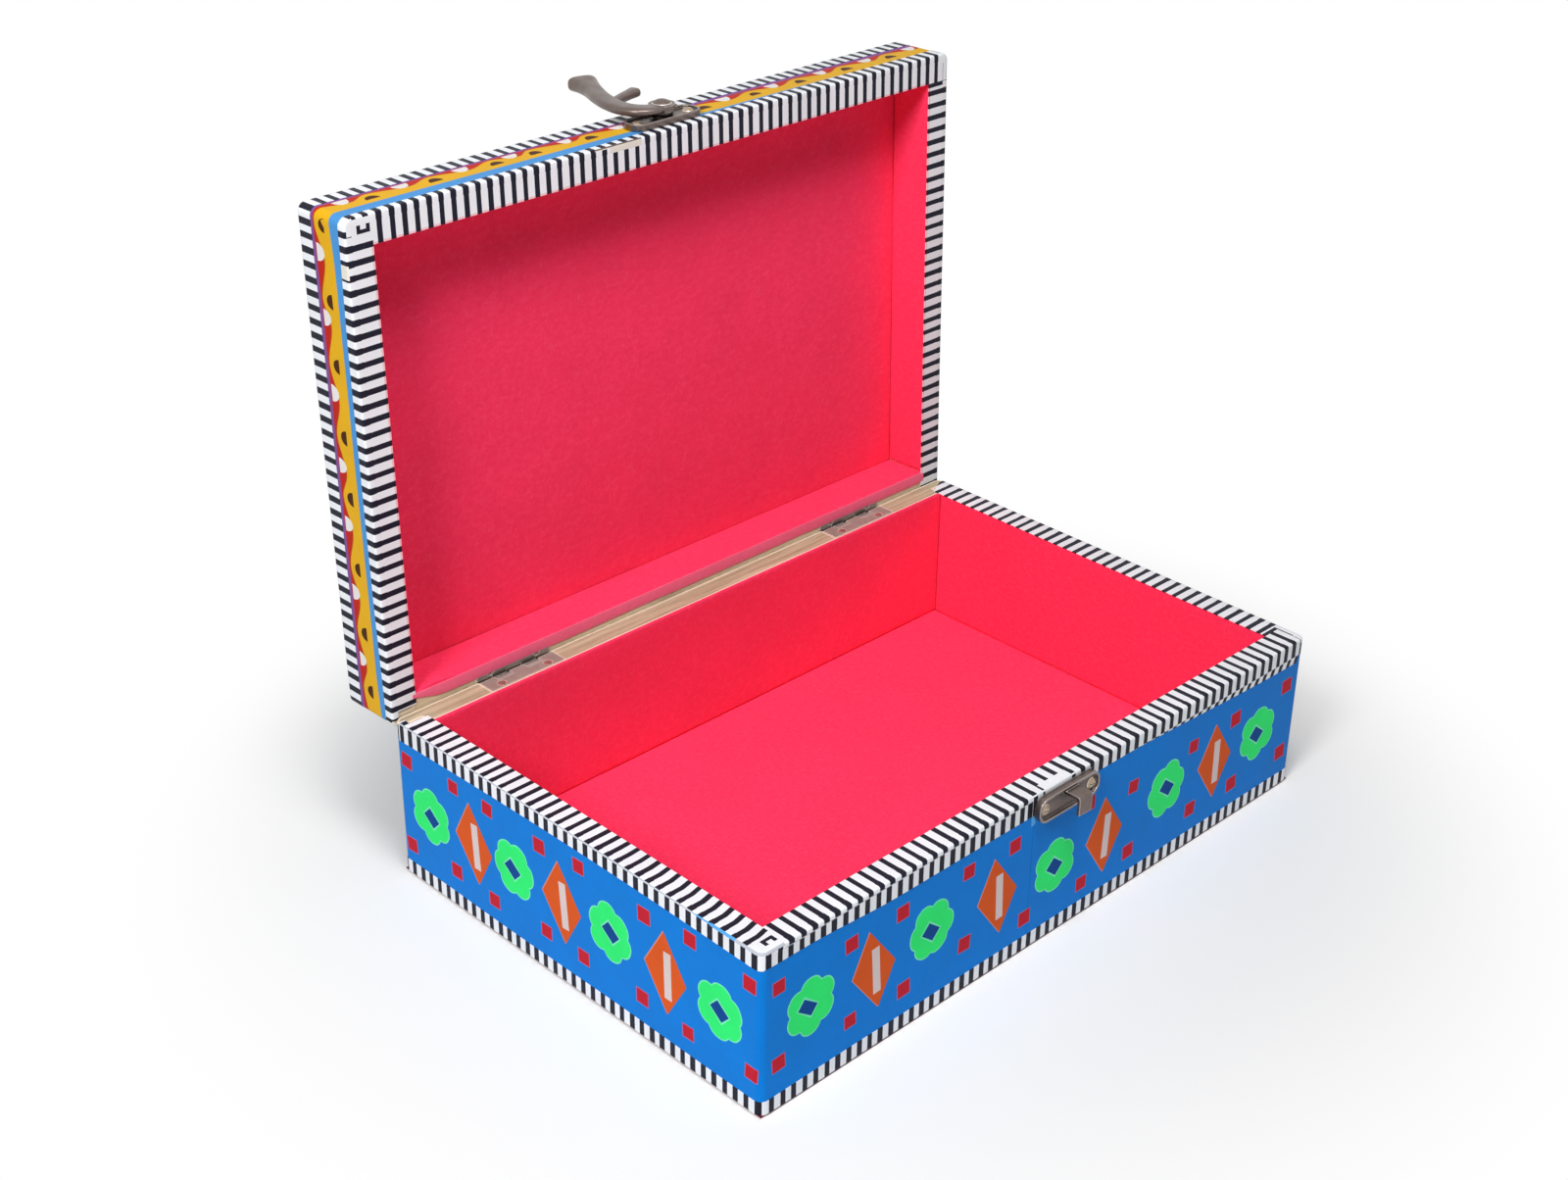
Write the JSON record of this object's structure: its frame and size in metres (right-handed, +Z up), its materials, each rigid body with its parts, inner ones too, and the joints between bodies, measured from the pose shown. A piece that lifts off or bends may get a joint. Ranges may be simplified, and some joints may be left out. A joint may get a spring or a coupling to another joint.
{
  "type": "decorative storage box",
  "caption": "Felt-lined wooden keepsake box with a hinged lid, bright folk-pattern sheets, black-and-white striped edges and a swinging horn latch.",
  "frame": {"origin": "middle of the underside of the base, on the surface that the box stands on", "axes": "+Z up, +X along the box's length to the right seen from the front, front face and latch towards -Y, lid open at rest"},
  "size_m": [0.254, 0.2303, 0.231],
  "materials": {
    "wood": "bare pale board, lightly sanded",
    "lining_felt": "crimson felt with a soft nap",
    "foot_felt": "maroon felt",
    "striped_tape": "satin printed tape with navy-black stripes",
    "printed_sheet": "satin blue sheet with cut and stuck motifs",
    "painted_band": "satin yellow and red wave band",
    "bronze": "antique bronze, worn bright at the edges",
    "screw_brass": "aged brass, slotted",
    "hinge_metal": "pale brass-plated steel"
  },
  "bodies": {
    "base": {"base_back_lining": "lining_felt", "base_back_panel": "wood", "base_bottom_board": "wood", "base_floor_lining": "lining_felt", "base_foot_tape": "striped_tape", "base_front_lining": "lining_felt", "base_front_panel": "wood", "base_left_lining": "lining_felt", "base_left_panel": "wood", "base_left_sheet": "printed_sheet", "base_rear_tape": "striped_tape", "base_right_lining": "lining_felt", "base_right_panel": "wood", "base_right_sheet": "printed_sheet", "base_rim_tape": "striped_tape", "hinge_base_screws": "hinge_metal", "hinge_left_base_leaf": "hinge_metal", "hinge_left_pin": "hinge_metal", "hinge_right_base_leaf": "hinge_metal", "hinge_right_pin": "hinge_metal", "strike_plate": "bronze", "strike_screws": "screw_brass", "underside_felt": "foot_felt"},
    "lid": {"hinge_left_lid_leaf": "hinge_metal", "hinge_lid_screws": "hinge_metal", "hinge_right_lid_leaf": "hinge_metal", "latch_plate": "bronze", "latch_rivet": "bronze", "latch_screws": "screw_brass", "lid_back_lining": "lining_felt", "lid_back_panel": "wood", "lid_front_lining": "lining_felt", "lid_front_panel": "wood", "lid_left_lining": "lining_felt", "lid_left_panel": "wood", "lid_rear_tape": "striped_tape", "lid_right_lining": "lining_felt", "lid_right_panel": "wood", "lid_rim_tape": "striped_tape", "lid_side_band": "painted_band", "lid_top_board": "wood", "lid_top_lining": "lining_felt", "lid_top_sheet": "printed_sheet", "lid_top_tape": "striped_tape"},
    "lever": {"latch_lever": "bronze"}
  },
  "joints": [
    {"name": "lid_hinge", "type": "hinge", "parent": "base", "child": "lid", "pos_m": [0, 0.08175, 0.0554], "axis": [1, 0, 0], "range_deg": [0, 91.5]},
    {"name": "latch_swing", "type": "hinge", "parent": "lid", "child": "lever", "pos_m": [0.0015, 0.09708, 0.22046], "axis": [0, 0.0262, 0.9997], "range_deg": [-180, 0]}
  ]
}
